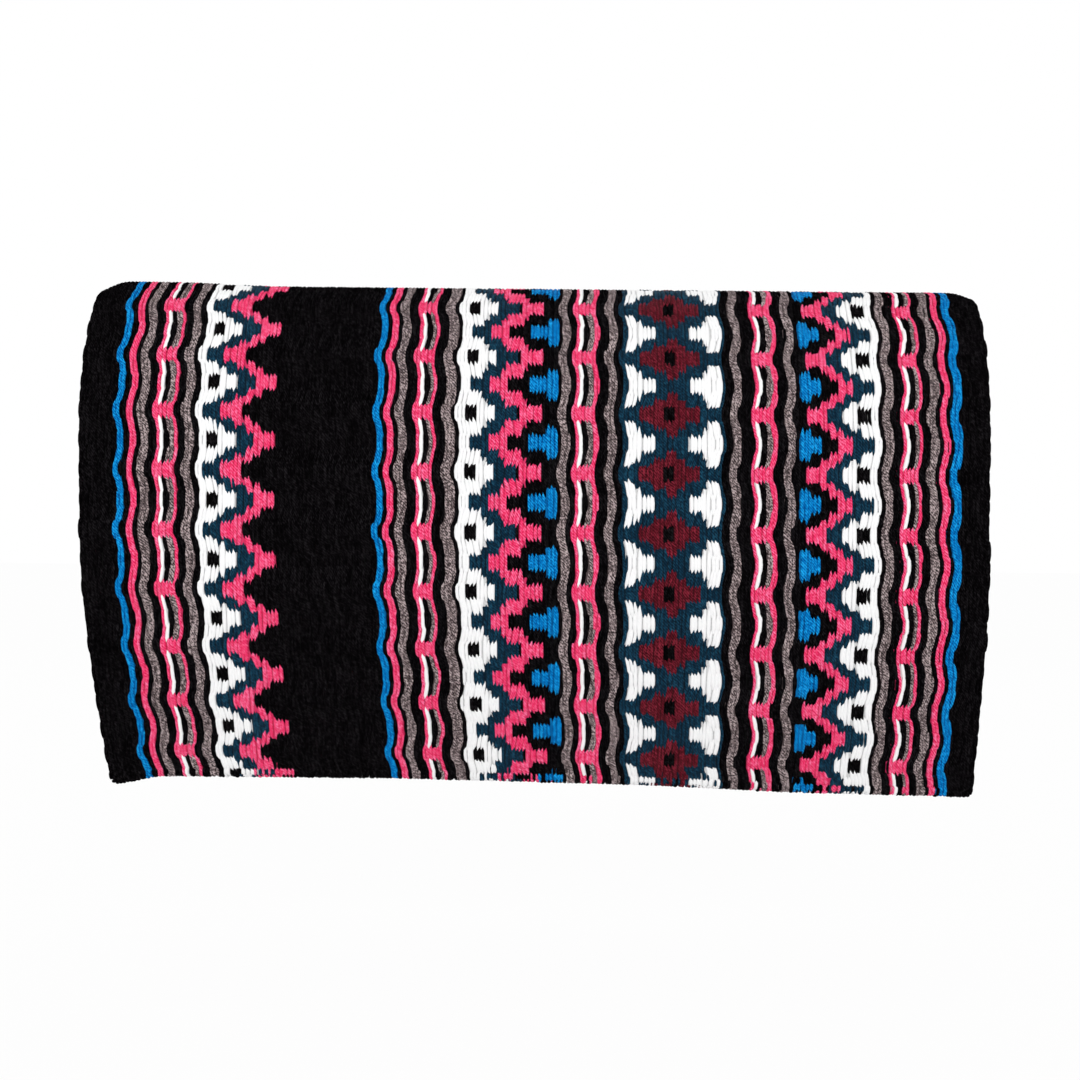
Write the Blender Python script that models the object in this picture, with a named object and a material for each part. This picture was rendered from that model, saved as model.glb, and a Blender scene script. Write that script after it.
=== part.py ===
"""Woven saddle blanket, hanging over a spine with one flap down each side.

X runs along the spine from the front edge (-X) to the rear edge (+X), Z is up and the near flap
hangs on the -Y side. The origin is on the underside of the crest, at mid-spine.

The cloth is weft-faced: its ribs run along X, one over each warp, and each coloured weft runs from
selvedge to selvedge across the spine. A row is one rib. Rows are counted from the spine down both
sides and wefts from the front edge, so a band of colour is one strip of cloth, some wefts wide, that
is laid over the same drape as its neighbours.
Bands meet at seams that wave or zigzag once in each pattern repeat, and the two flaps turn on the
lines where the crest ends.
"""

import math
from dataclasses import dataclass

import bmesh
import bpy
from mathutils import Vector

# Cloth, laid flat: along the spine, and from the spine to a hem
BLANKET_LENGTH = 0.8638
FLAP_LENGTH = 0.5396
CLOTH_THICKNESS = 0.008
ROWS_PER_REPEAT = 8
SEAM_GAP = 0.0003
SELVEDGE_DIAMETER = 0.0085

# Rows from the spine to the bend line, and from the spine to the hem
CREST_ROWS = 8
HEM_ROW = 76
CREST_STEP_ROWS = 2
FLAP_STEP_ROWS = 4
ROW_PITCH = FLAP_LENGTH / HEM_ROW

# Shape of the bands' seams and of the flaps
WAVE_REACH = 0.0024
SWEEP_BACK = 0.013
HEM_DRAW_IN = 0.004
REAR_HEM_DROP = 0.0115
REAR_DROP_FROM_ROW = 44
FRONT_CORNER_DROP = 0.0055
FRONT_CORNER_WIDTH = 0.045
FRONT_DROP_FROM_ROW = 56
FRONT_WHITE_ZIGZAG = 0.0151
FRONT_FLAME_ZIGZAG = 0.0146
CENTRE_WHITE_ZIGZAG = 0.0127
CENTRE_FLAME_ZIGZAG = 0.0170
REAR_FLAME_ZIGZAG = 0.0149
REAR_WHITE_ZIGZAG = 0.0120

# Wool colours, as sRGB shares of full light
BLACK_SHARES = (0.045, 0.042, 0.045)
BLUE_SHARES = (0.06, 0.54, 0.80)
CORAL_SHARES = (0.97, 0.27, 0.44)
TAUPE_SHARES = (0.43, 0.38, 0.36)
WHITE_SHARES = (0.93, 0.93, 0.92)
PETROL_SHARES = (0.06, 0.20, 0.28)
WOOL_ROUGHNESS = 0.92
SHARP_EDGE_DEGREES = 30


@dataclass(frozen=True)
class Bend:
    """A stretch of the drape: how many rows it takes, and by how many degrees it turns downward."""

    rows: int
    turn: float


@dataclass(frozen=True)
class Band:
    """A band of weft between two seams, the second of which it shares with the next band."""

    name: str
    wefts: int
    colour: tuple
    zigzag: float  # how far its rear seam reaches forward at the bars, and back between them


# The outer surface from the spine to a hem: flat top, tight crest, shoulder, plumb flank, drawn-in hem
DRAPE = (
    Bend(rows=2, turn=0),
    Bend(rows=6, turn=57),
    Bend(rows=8, turn=14),
    Bend(rows=12, turn=18),
    Bend(rows=12, turn=0),
    Bend(rows=12, turn=14),
    Bend(rows=12, turn=5),
    Bend(rows=12, turn=2),
)

# Front edge to rear edge
BANDS = (
    Band("front_border", wefts=18, colour=BLACK_SHARES, zigzag=WAVE_REACH),
    Band("front_pinstripes", wefts=10, colour=BLUE_SHARES, zigzag=WAVE_REACH),
    Band("front_chain_stripe", wefts=28, colour=TAUPE_SHARES, zigzag=WAVE_REACH),
    Band("front_white_zigzag", wefts=11, colour=WHITE_SHARES, zigzag=FRONT_WHITE_ZIGZAG),
    Band("front_flame_zigzag", wefts=19, colour=CORAL_SHARES, zigzag=FRONT_FLAME_ZIGZAG),
    Band("seat_field", wefts=54, colour=BLACK_SHARES, zigzag=WAVE_REACH),
    Band("centre_pinstripes", wefts=10, colour=BLUE_SHARES, zigzag=WAVE_REACH),
    Band("centre_chain_stripe", wefts=29, colour=TAUPE_SHARES, zigzag=WAVE_REACH),
    Band("centre_white_zigzag", wefts=12, colour=WHITE_SHARES, zigzag=-CENTRE_WHITE_ZIGZAG),
    Band("centre_flame_zigzag", wefts=20, colour=CORAL_SHARES, zigzag=-CENTRE_FLAME_ZIGZAG),
    Band("centre_pip_stripe", wefts=17, colour=BLUE_SHARES, zigzag=WAVE_REACH),
    Band("medallion_front_chain_stripe", wefts=28, colour=TAUPE_SHARES, zigzag=WAVE_REACH),
    Band("medallion_band", wefts=52, colour=PETROL_SHARES, zigzag=WAVE_REACH),
    Band("medallion_rear_chain_stripe", wefts=33, colour=TAUPE_SHARES, zigzag=WAVE_REACH),
    Band("rear_pip_stripe", wefts=12, colour=BLUE_SHARES, zigzag=REAR_FLAME_ZIGZAG),
    Band("rear_flame_zigzag", wefts=14, colour=CORAL_SHARES, zigzag=REAR_WHITE_ZIGZAG),
    Band("rear_white_zigzag", wefts=13, colour=WHITE_SHARES, zigzag=WAVE_REACH),
    Band("rear_chain_stripe", wefts=27, colour=TAUPE_SHARES, zigzag=WAVE_REACH),
    Band("rear_border", wefts=25, colour=BLACK_SHARES, zigzag=0),
)

WEFT_PITCH = BLANKET_LENGTH / sum(band.wefts for band in BANDS)
REAR_DROP_STARTS_AFTER = "seat_field"


@dataclass(frozen=True)
class Seam:
    """A line between two bands: its mean place along X, and its reach forward at the bars."""

    x: float
    zigzag: float


def seams_of(bands):
    """The seams from the front edge to the rear edge, one more than there are bands."""
    found = [Seam(x=-BLANKET_LENGTH / 2, zigzag=0)]
    for band in bands:
        found.append(Seam(x=found[-1].x + band.wefts * WEFT_PITCH, zigzag=band.zigzag))
    return found


SEAMS = seams_of(BANDS)
REAR_DROP_START = next(
    seam for band, seam in zip(BANDS, SEAMS[1:]) if band.name == REAR_DROP_STARTS_AFTER
)


def share_between(value, low, high):
    """How far value has come from low to high, held from 0 to 1."""
    return min(max((value - low) / (high - low), 0), 1)


def outer_point(along):
    """Walks the drape from the spine: (reach out from the spine, height, slope angle) after a length."""
    reach, height, angle = 0, CLOTH_THICKNESS, 0
    for bend in DRAPE:
        length = min(bend.rows * ROW_PITCH, along)
        turn = math.radians(bend.turn) * length / (bend.rows * ROW_PITCH)
        if turn:
            radius = length / turn
            reach += radius * (math.sin(angle + turn) - math.sin(angle))
            height -= radius * (math.cos(angle) - math.cos(angle + turn))
        else:
            reach += length * math.cos(angle)
            height -= length * math.sin(angle)
        angle += turn
        along -= length
    return reach + along * math.cos(angle), height - along * math.sin(angle), angle


def seam_x(seam, row):
    """Where a seam runs at a row: zigzagged, drawn in and swept back towards the hem."""
    hem_share = (row / HEM_ROW) ** 2
    drawn = seam.x * (1 - hem_share * 2 * HEM_DRAW_IN / BLANKET_LENGTH)
    swing = math.cos(2 * math.pi * row / ROWS_PER_REPEAT)
    return drawn - seam.zigzag * swing + SWEEP_BACK * hem_share


def hang(seam, row):
    """How much further from the spine a row lies, where the rear and the front corner of the hem drop."""
    front, rear = SEAMS[0].x, SEAMS[-1].x
    at_rear = share_between(seam.x, REAR_DROP_START.x, rear)
    at_front = share_between(seam.x, front + FRONT_CORNER_WIDTH, front)
    return (
        REAR_HEM_DROP * at_rear * share_between(row, REAR_DROP_FROM_ROW, HEM_ROW)
        + FRONT_CORNER_DROP * at_front * share_between(row, FRONT_DROP_FROM_ROW, HEM_ROW)
    )


def cloth_point(seam, row, depth=0.0, beyond=0.0):
    """A point of the cloth on a seam: row < 0 is the near side, depth goes in from the outer surface,
    and beyond is a length past the row, down the drape."""
    side = -1 if row < 0 else 1
    row = abs(row)
    reach, height, angle = outer_point(row * ROW_PITCH + beyond + hang(seam, row))
    reach -= depth * math.sin(angle)
    height -= depth * math.cos(angle)
    return Vector((seam_x(seam, row), side * reach, height))


def wool(name, shares):
    """A dull woollen material from an sRGB colour."""
    material = bpy.data.materials.new(name)
    material.use_nodes = True
    shader = material.node_tree.nodes["Principled BSDF"]
    linear = [((share + 0.055) / 1.055) ** 2.4 if share > 0.04045 else share / 12.92 for share in shares]
    shader.inputs["Base Color"].default_value = (*linear, 1)
    shader.inputs["Roughness"].default_value = WOOL_ROUGHNESS
    shader.inputs["Metallic"].default_value = 0
    return material


def section(front, rear, row, beyond, origin):
    """The four corners of a band's cut at a row: outer front, outer rear, inner rear, inner front."""
    half_gap = Vector((SEAM_GAP / 2, 0, 0))
    outside = SEAMS[0], SEAMS[-1]
    from_front = Vector() if front in outside else half_gap
    from_rear = Vector() if rear in outside else half_gap
    return [
        cloth_point(front, row, 0, beyond) + from_front - origin,
        cloth_point(rear, row, 0, beyond) - from_rear - origin,
        cloth_point(rear, row, CLOTH_THICKNESS, beyond) - from_rear - origin,
        cloth_point(front, row, CLOTH_THICKNESS, beyond) + from_front - origin,
    ]


def add_length(shape, ring, following):
    """The four faces between two cuts. The seam faces are split from the outer corner of the first cut
    to the inner corner of the second, so that both bands of a seam are split alike."""
    front_out, rear_out, rear_in, front_in = ring
    next_front_out, next_rear_out, next_rear_in, next_front_in = following
    shape.faces.new((front_out, rear_out, next_rear_out, next_front_out))
    shape.faces.new((rear_in, front_in, next_front_in, next_rear_in))
    shape.faces.new((rear_out, rear_in, next_rear_in))
    shape.faces.new((rear_out, next_rear_in, next_rear_out))
    shape.faces.new((front_out, next_front_in, front_in))
    shape.faces.new((front_out, next_front_out, next_front_in))


def add_strip(name, sections, material, parent):
    """A closed strip of cloth through the given sections, hung on its parent."""
    mesh = bpy.data.meshes.new(name)
    shape = bmesh.new()
    rings = [[shape.verts.new(corner) for corner in ring] for ring in sections]
    for ring, following in zip(rings, rings[1:]):
        add_length(shape, ring, following)
    shape.faces.new(rings[0])
    shape.faces.new(rings[-1])
    bmesh.ops.recalc_face_normals(shape, faces=shape.faces)
    shape.to_mesh(mesh)
    shape.free()
    mesh.shade_smooth()
    mesh.set_sharp_from_angle(angle=math.radians(SHARP_EDGE_DEGREES))
    mesh.materials.append(material)
    strip = bpy.data.objects.new(name, mesh)
    strip.parent = parent
    bpy.context.collection.objects.link(strip)
    return strip


def add_band(body, band, seams, stations, side, material, parent):
    """One band of one body: stations are (row, length beyond the row) from its top to its end."""
    sections = [section(*seams, side * row, beyond, parent.location) for row, beyond in stations]
    return add_strip(f"{body}_{band.name}", sections, material, parent)


def add_crest_band(band, seams, material, parent):
    """The part of a band that lies over the spine, cut square to the cloth at both bend lines."""
    rows = range(-CREST_ROWS, CREST_ROWS + 1, CREST_STEP_ROWS)
    ends = (rows[0], rows[-1])
    sections = [
        section(*seams, row, -SEAM_GAP / 2 if row in ends else 0, parent.location) for row in rows
    ]
    return add_strip(f"crest_{band.name}", sections, material, parent)


def add_selvedge(name, side, material, parent):
    """The thick corded edge under a flap's bands, bent at each seam where the hem starts to drop."""
    past_bands = SEAM_GAP + SELVEDGE_DIAMETER / 2
    before_drop = [seam for seam in SEAMS if seam.x < SEAMS[0].x + FRONT_CORNER_WIDTH]
    after_corner = SEAMS[len(before_drop)]
    corners = (*before_drop, after_corner, REAR_DROP_START, SEAMS[-1])
    curve = bpy.data.curves.new(name, "CURVE")
    curve.dimensions = "3D"
    curve.bevel_depth = SELVEDGE_DIAMETER / 2
    curve.bevel_resolution = 2
    curve.use_fill_caps = True
    spline = curve.splines.new("POLY")
    spline.points.add(len(corners) - 1)
    for point, seam in zip(spline.points, corners):
        place = cloth_point(seam, side * HEM_ROW, CLOTH_THICKNESS / 2, past_bands) - parent.location
        point.co = place.to_4d()
    curve.materials.append(material)
    cord = bpy.data.objects.new(name, curve)
    cord.parent = parent
    bpy.context.collection.objects.link(cord)
    return cord


def add_empty(name, place):
    """A helper that carries one body, placed where that body turns."""
    empty = bpy.data.objects.new(name, None)
    empty.location = place
    bpy.context.collection.objects.link(empty)
    return empty


def add_flap(body, side, materials):
    """One flap with its bands and its selvedge, on a helper that stands on its bend line."""
    reach, height, _ = outer_point(CREST_ROWS * ROW_PITCH)
    hinge = add_empty(f"{body}_bend_line", (0, side * reach, height))
    lower_rows = range(CREST_ROWS + FLAP_STEP_ROWS, HEM_ROW + 1, FLAP_STEP_ROWS)
    stations = [(CREST_ROWS, SEAM_GAP / 2)] + [(row, 0) for row in lower_rows]
    for band, seams in zip(BANDS, zip(SEAMS, SEAMS[1:])):
        add_band(body, band, seams, stations, side, materials[band.name], hinge)
    add_selvedge(f"{body}_selvedge", side, materials["front_border"], hinge)


def main():
    """Clears the scene and lays the blanket over its spine."""
    for old in list(bpy.data.objects):
        bpy.data.objects.remove(old, do_unlink=True)
    materials = {band.name: wool(f"{band.name}_wool", band.colour) for band in BANDS}
    spine = add_empty("spine", (0, 0, 0))
    for band, seams in zip(BANDS, zip(SEAMS, SEAMS[1:])):
        add_crest_band(band, seams, materials[band.name], spine)
    add_flap("near_flap", -1, materials)
    add_flap("off_flap", 1, materials)


main()
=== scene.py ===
"""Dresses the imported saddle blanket: its weft floats, ground cloth, wrapped hems and edges.

The cloth is weft-faced. Each weft runs from hem to hem across the spine and shows as a lens-shaped float
wherever it passes over two or four warps, so neighbours float by turns and their ends interlock as teeth.
Rows are counted from the spine down each side, one to a warp, and wefts from the front edge (-X) to the
rear edge (+X). The pattern repeats every eight rows: a bar at row 0, 8, 16 and so on, an eye at row 4.
"""

import logging
import math
from collections.abc import Callable, Iterable, Sequence
from dataclasses import dataclass, field
from enum import Enum

import bpy
import numpy as np
from mathutils import Euler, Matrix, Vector


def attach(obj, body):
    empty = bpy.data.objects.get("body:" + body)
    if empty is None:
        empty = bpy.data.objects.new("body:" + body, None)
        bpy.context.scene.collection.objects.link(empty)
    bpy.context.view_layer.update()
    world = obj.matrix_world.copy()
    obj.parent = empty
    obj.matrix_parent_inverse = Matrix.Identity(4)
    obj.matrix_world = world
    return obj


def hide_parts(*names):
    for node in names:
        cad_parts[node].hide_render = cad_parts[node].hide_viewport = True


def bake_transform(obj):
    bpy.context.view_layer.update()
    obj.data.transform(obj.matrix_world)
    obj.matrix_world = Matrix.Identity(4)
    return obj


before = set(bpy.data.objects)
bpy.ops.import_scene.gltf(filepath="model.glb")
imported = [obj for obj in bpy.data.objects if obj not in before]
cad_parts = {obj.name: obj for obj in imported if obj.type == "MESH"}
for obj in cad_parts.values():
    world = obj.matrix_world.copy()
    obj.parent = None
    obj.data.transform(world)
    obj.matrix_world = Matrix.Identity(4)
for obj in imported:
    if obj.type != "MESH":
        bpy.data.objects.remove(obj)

log = logging.getLogger("saddle_blanket")

MILLIMETRE = 0.001
NO_LIGHT = (0.0, 0.0, 0.0, 1.0)
FULL_LIGHT = (1.0, 1.0, 1.0, 1.0)

Triple = tuple[float, float, float]


class Side(Enum):
    """The side of the spine that a flap hangs on."""

    NEAR = -1
    OFF = 1


class Yarn(Enum):
    """The dyed wools, by the name of their material slot's first word."""

    BLACK = "black"
    BLUE = "blue"
    CORAL = "coral"
    TAUPE = "taupe"
    WHITE = "white"
    PETROL = "petrol"
    MAROON = "maroon"


YARNS = tuple(Yarn)
BLACK, BLUE, CORAL, TAUPE, WHITE, PETROL, MAROON = YARNS


class Value:
    """A number that varies over a surface: Python's operators on it add Math nodes."""

    def __init__(self, tree: "Tree", socket: bpy.types.NodeSocket) -> None:
        """Wraps an output socket.

        Args:
            tree: The tree that the socket is in.
            socket: The output to work on.
        """
        self.tree = tree
        self.socket = socket

    def __add__(self, other: "Value | float") -> "Value":
        """Returns self + other."""
        return self.tree.maths("ADD", self, other)

    def __sub__(self, other: "Value | float") -> "Value":
        """Returns self - other."""
        return self.tree.maths("SUBTRACT", self, other)

    def __rsub__(self, other: "Value | float") -> "Value":
        """Returns other - self."""
        return self.tree.maths("SUBTRACT", other, self)

    def __mul__(self, other: "Value | float") -> "Value":
        """Returns self * other."""
        return self.tree.maths("MULTIPLY", self, other)

    def __truediv__(self, other: "Value | float") -> "Value":
        """Returns self / other."""
        return self.tree.maths("DIVIDE", self, other)

    def __pow__(self, other: "Value | float") -> "Value":
        """Returns self ** other."""
        return self.tree.maths("POWER", self, other)

    def __neg__(self) -> "Value":
        """Returns -self."""
        return self * -1

    def __abs__(self) -> "Value":
        """Returns the size of self."""
        return self.tree.maths("ABSOLUTE", self)

    __radd__ = __add__
    __rmul__ = __mul__

    def sine(self) -> "Value":
        """Returns the sine of self, in radians."""
        return self.tree.maths("SINE", self)

    def held(self) -> "Value":
        """Returns self held from 0 to 1."""
        made = self.tree.node("ShaderNodeClamp", inputs={"Value": self})
        return Value(self.tree, made.outputs[0])


class Tree:
    """Adds nodes to a shader tree or a geometry tree, and links them."""

    def __init__(self, tree: bpy.types.NodeTree) -> None:
        """Wraps a node tree.

        Args:
            tree: The tree to build in.
        """
        self.tree = tree

    def node(self, kind: str, settings: dict | None = None, inputs: dict | None = None) -> bpy.types.Node:
        """Adds one node.

        Args:
            kind: The node's type, as Blender names it.
            settings: The node's own properties, which are set first.
            inputs: What each input gets, by its name, identifier or place: a number, a link or a Value.

        Returns:
            The new node.
        """
        made = self.tree.nodes.new(kind)
        for name, value in (settings or {}).items():
            setattr(made, name, value)
        for name, value in (inputs or {}).items():
            self.feed(self.input_of(made, name), value)
        return made

    def output(self, kind: str, settings: dict | None = None,
               inputs: dict | None = None) -> bpy.types.NodeSocket:
        """Adds one node as node() does, and returns its first output in use."""
        return next(output for output in self.node(kind, settings, inputs).outputs if output.enabled)

    @staticmethod
    def input_of(made: bpy.types.Node, name: str | int) -> bpy.types.NodeSocket:
        """Returns a node's input by its place, identifier or name, leaving out the inputs not in use."""
        if isinstance(name, int):
            return made.inputs[name]
        in_use = (socket for socket in made.inputs if socket.enabled)
        return next(socket for socket in in_use if name in (socket.identifier, socket.name))

    def feed(self, socket: bpy.types.NodeSocket, value: object) -> None:
        """Links a value to an input, or sets the input to it.

        Args:
            socket: The input.
            value: A Value, an output socket, or what the input's default becomes.
        """
        if isinstance(value, Value):
            value = value.socket
        if isinstance(value, bpy.types.NodeSocket):
            self.tree.links.new(value, socket)
        else:
            socket.default_value = value

    def maths(self, operation: str, *operands: Value | float) -> Value:
        """Returns the result of one Math node on the operands."""
        made = self.node("ShaderNodeMath", {"operation": operation}, dict(enumerate(operands)))
        return Value(self, made.outputs[0])

    def split(self, socket: bpy.types.NodeSocket) -> tuple[Value, Value, Value]:
        """Returns the three parts of a vector."""
        made = self.node("ShaderNodeSeparateXYZ", inputs={"Vector": socket})
        return tuple(Value(self, output) for output in made.outputs)

    def joined(self, x: Value | float, y: Value | float, z: Value | float) -> bpy.types.NodeSocket:
        """Returns the vector of three numbers."""
        return self.output("ShaderNodeCombineXYZ", inputs={0: x, 1: y, 2: z})

    def mixed(self, share: Value | float, first: object, second: object) -> bpy.types.NodeSocket:
        """Returns a colour that goes from first to second as share goes from 0 to 1."""
        inputs = {"Factor_Float": share, "A_Color": first, "B_Color": second}
        made = self.node("ShaderNodeMix", {"data_type": "RGBA", "clamp_factor": True}, inputs)
        return next(output for output in made.outputs if output.identifier == "Result_Color")

    def noise(self, place: bpy.types.NodeSocket, scale: float, detail: float = 2.0) -> Value:
        """Returns a noise from 0 to 1 over a place."""
        made = self.node("ShaderNodeTexNoise", inputs={"Vector": place, "Scale": scale, "Detail": detail})
        return Value(self, made.outputs["Fac"])

    def bump(self, shader: bpy.types.Node, strength: float, reach: float, height: Value) -> None:
        """Gives a shader a bump of the given reach in metres, where height is a share of it."""
        inputs = {"Strength": strength, "Distance": reach, "Height": height}
        self.feed(shader.inputs["Normal"], self.output("ShaderNodeBump", inputs=inputs))

    def seen(self) -> Value:
        """Returns 1 for what the camera sees, straight or in a gloss, and 0 for other light."""
        rays = self.node("ShaderNodeLightPath").outputs
        return self.maths("MAXIMUM", Value(self, rays["Is Camera Ray"]), Value(self, rays["Is Glossy Ray"]))


def new_material(name: str) -> tuple[bpy.types.Material, Tree, bpy.types.Node]:
    """Returns a new material with its tree and its shader."""
    made = bpy.data.materials.new(name)
    made.use_nodes = True
    return made, Tree(made.node_tree), made.node_tree.nodes["Principled BSDF"]


def new_mesh(name: str, points: Iterable, faces: Sequence = ()) -> bpy.types.Mesh:
    """Returns a new mesh of some points, and of faces by their points' numbers."""
    made = bpy.data.meshes.new(name)
    made.from_pydata([tuple(point) for point in points], [], faces)
    return made


def new_object(name: str, data: bpy.types.ID) -> bpy.types.Object:
    """Returns a new object of some data, put in the scene."""
    made = bpy.data.objects.new(name, data)
    bpy.context.scene.collection.objects.link(made)
    return made


def linear(shares: Triple) -> tuple[float, float, float, float]:
    """Returns an sRGB colour, as shares of full light, as Blender's linear colour with full alpha."""
    return (*(s / 12.92 if s <= 0.04045 else ((s + 0.055) / 1.055) ** 2.4 for s in shares), 1.0)


@dataclass(frozen=True)
class Wool:
    """The finish of one dyed wool: plied strands that wind round the yarn, with fine fibres on them.

    A yarn goes from its own colour to the lit one, a painted highlight, where strands and fibres catch the
    light, and to its painted shade between strands, among darker fibres and at its sides beside its
    neighbours. Widths and relief are in metres.
    """

    yarn: Yarn
    colour: Triple
    # The lit colour is a painted highlight and the one after it a painted shade; the first colour is the
    # wool's own.
    lit: Triple
    painted_shade: Triple
    heather: float = 0.35
    furrow_shade: float = 0.45
    side_shade_strength: float = 0.55
    side_shade_width: float = 0.0019
    side_shade_level: float = 0.4
    shade_spread: float = 0.25
    roughness: float = 0.88
    roughness_spread: float = 0.15
    sheen: float = 0.05
    sheen_roughness: float = 0.5
    gloss: float = 0.12
    strand_width: float = 0.0025
    strand_lean: float = 0.85
    strand_jitter: float = 0.35
    strand_glow: float = 0.5
    strand_relief: float = 0.00035
    strand_share: float = 0.7
    fibre_share: float = 0.5
    fibre_scale: float = 520.0
    fibre_stretch: float = 0.6
    fibre_shift: float = 0.01
    fibre_level: float = 0.47
    fibre_shadow: float = 5.0
    fibre_glow: float = 8.0
    wander_scale: float = 160.0
    wander_stretch: float = 0.12
    bump_strength: float = 0.7

    @property
    def slot(self) -> str:
        """The record's material slot for this wool."""
        return f"{self.yarn.value}_wool"

    def material(self) -> bpy.types.Material:
        """Builds the wool's material.

        Returns:
            A material that reads the floats' own attributes: where a point is in its float, and where
            the float is in the cloth.
        """
        made, tree, shader = new_material(self.slot)
        spot = tree.node("ShaderNodeAttribute", {"attribute_name": "float_spot"}).outputs["Vector"]
        cloth = tree.node("ShaderNodeAttribute", {"attribute_name": "cloth_spot"}).outputs["Vector"]
        across, down, _ = tree.split(spot)
        x, arc, shade = tree.split(cloth)
        slanted = x + arc * self.strand_lean * 0.5
        fibre_place = tree.joined(slanted, arc * self.fibre_stretch, shade * self.fibre_shift)
        fibre = tree.noise(fibre_place, self.fibre_scale, 3.0)
        wander = tree.noise(tree.joined(x, arc * self.wander_stretch, 0.0), self.wander_scale)
        turns = (across + down * self.strand_lean) / self.strand_width + fibre * self.strand_jitter + shade
        strand = (turns * math.tau).sine() * 0.5 + 0.5
        # Painted shade at the float's sides beside its neighbours, with its crown painted a little lighter.
        side_shade = across * across / self.side_shade_width ** 2
        # Share of painted shade: in the furrows between the plied strands, at the float's sides beside its
        # neighbours, and with the heather's darker fibres.
        depth = ((1 - strand) * self.furrow_shade + (0.5 - fibre) * self.heather * self.fibre_shadow
                 + (side_shade - self.side_shade_level) * self.side_shade_strength).held()
        # Share towards the lit colour: a painted highlight on the strands' crests, together with the
        # heather's lighter fibres, each float's chance tone and slow streaks from weft to weft.
        tone_and_highlight = ((fibre - self.fibre_level) * self.heather * self.fibre_glow
                + (shade - 0.5) * self.shade_spread + (wander - 0.5) * self.shade_spread * 2.0
                + (strand - 0.5) * self.strand_glow).held()
        colour = tree.mixed(depth, linear(self.colour), linear(self.painted_shade))
        tree.feed(shader.inputs["Base Color"], tree.mixed(tone_and_highlight, colour, linear(self.lit)))
        tree.feed(shader.inputs["Roughness"], self.roughness + (fibre - 0.5) * self.roughness_spread)
        shader.inputs["Sheen Weight"].default_value = self.sheen
        shader.inputs["Sheen Roughness"].default_value = self.sheen_roughness
        shader.inputs["Specular IOR Level"].default_value = self.gloss
        relief = strand * self.strand_share + fibre * self.fibre_share
        tree.bump(shader, self.bump_strength, self.strand_relief, relief)
        return made


# Each wool: its own colour, then the colour of its painted highlights, then the colour of its painted shade.
WOOLS = (
    Wool(BLACK, (0.022, 0.018, 0.022), (0.16, 0.15, 0.16), (0.008, 0.006, 0.008),
         heather=0.3, sheen=0.0, gloss=0.0),
    Wool(BLUE, (0.0, 0.51, 0.81), (0.14, 0.72, 0.98), (0.0, 0.26, 0.53),
         furrow_shade=0.9, sheen=0.02, gloss=0.03),
    Wool(CORAL, (0.99, 0.25, 0.47), (1.0, 0.58, 0.75), (0.82, 0.03, 0.27), furrow_shade=0.9),
    Wool(TAUPE, (0.44, 0.38, 0.385), (0.80, 0.73, 0.73), (0.15, 0.12, 0.12),
         heather=0.6, furrow_shade=1.0, fibre_scale=600.0, fibre_stretch=0.8),
    Wool(WHITE, (0.975, 0.975, 0.975), (0.99, 0.99, 0.99), (0.89, 0.90, 0.91),
         heather=0.2, furrow_shade=0.10, side_shade_strength=0.15, shade_spread=0.1, strand_relief=0.00012),
    Wool(PETROL, (0.030, 0.165, 0.245), (0.13, 0.33, 0.43), (0.005, 0.07, 0.12),
         furrow_shade=0.8, gloss=0.05),
    Wool(MAROON, (0.37, 0.065, 0.12), (0.60, 0.18, 0.25), (0.14, 0.015, 0.04),
         furrow_shade=0.8, gloss=0.05),
)


@dataclass(frozen=True)
class GroundFinish:
    """The finish of the cloth below the floats, where the same wefts dive under the warps; its dye is painted
    darker as shade.
    """

    unshaded_share: float = 0.72
    roughness: float = 0.95
    roughness_spread: float = 0.1
    gloss: float = 0.15
    grain_relief: float = 0.0004
    grain_scale: float = 900.0
    grain_shade: float = 0.5
    bump_strength: float = 0.6

    def material(self) -> bpy.types.Material:
        """Builds the material, which reads each cell's dye from the mesh and paints it darker as shade."""
        made, tree, shader = new_material("ground_cloth")
        dye = tree.node("ShaderNodeAttribute", {"attribute_name": "dye"}).outputs["Color"]
        place = tree.node("ShaderNodeTexCoord").outputs["Object"]
        grain = tree.noise(place, self.grain_scale, 3.0)
        # Painted shade: the dye is mixed towards black, as it lies in the shade under the floats, and the
        # grain varies how far.
        light = (self.unshaded_share + (grain - 0.5) * self.grain_shade).held()
        tree.feed(shader.inputs["Base Color"], tree.mixed(light, NO_LIGHT, dye))
        tree.feed(shader.inputs["Roughness"], self.roughness - grain * self.roughness_spread)
        shader.inputs["Specular IOR Level"].default_value = self.gloss
        tree.bump(shader, self.bump_strength, self.grain_relief, grain)
        return made


class Shed(Enum):
    """The sheds that the wefts are thrown in, by how many rows a float passes over."""

    SHORT = 2
    LONG = 4


@dataclass(frozen=True)
class Strip:
    """Wefts side by side that are thrown alike.

    The yarns are those of the floats at a bar, between a bar and an eye, and at an eye. Long floats
    meet between bar and eye, so they have no middle yarn.
    """

    wefts: int
    yarns: tuple[Yarn, ...]
    shed: Shed = Shed.SHORT


def plain(yarn: Yarn, wefts: int) -> Strip:
    """Returns wefts that show one yarn in every row."""
    return Strip(wefts, (yarn,) * 3)


def short(wefts: int, bar: Yarn, middle: Yarn, eye: Yarn) -> Strip:
    """Returns wefts whose short floats change yarn on the way from a bar to an eye."""
    return Strip(wefts, (bar, middle, eye))


def long(wefts: int, bar: Yarn, eye: Yarn) -> Strip:
    """Returns wefts whose long floats have one yarn round each bar and one round each eye."""
    return Strip(wefts, (bar, eye), Shed.LONG)


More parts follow.
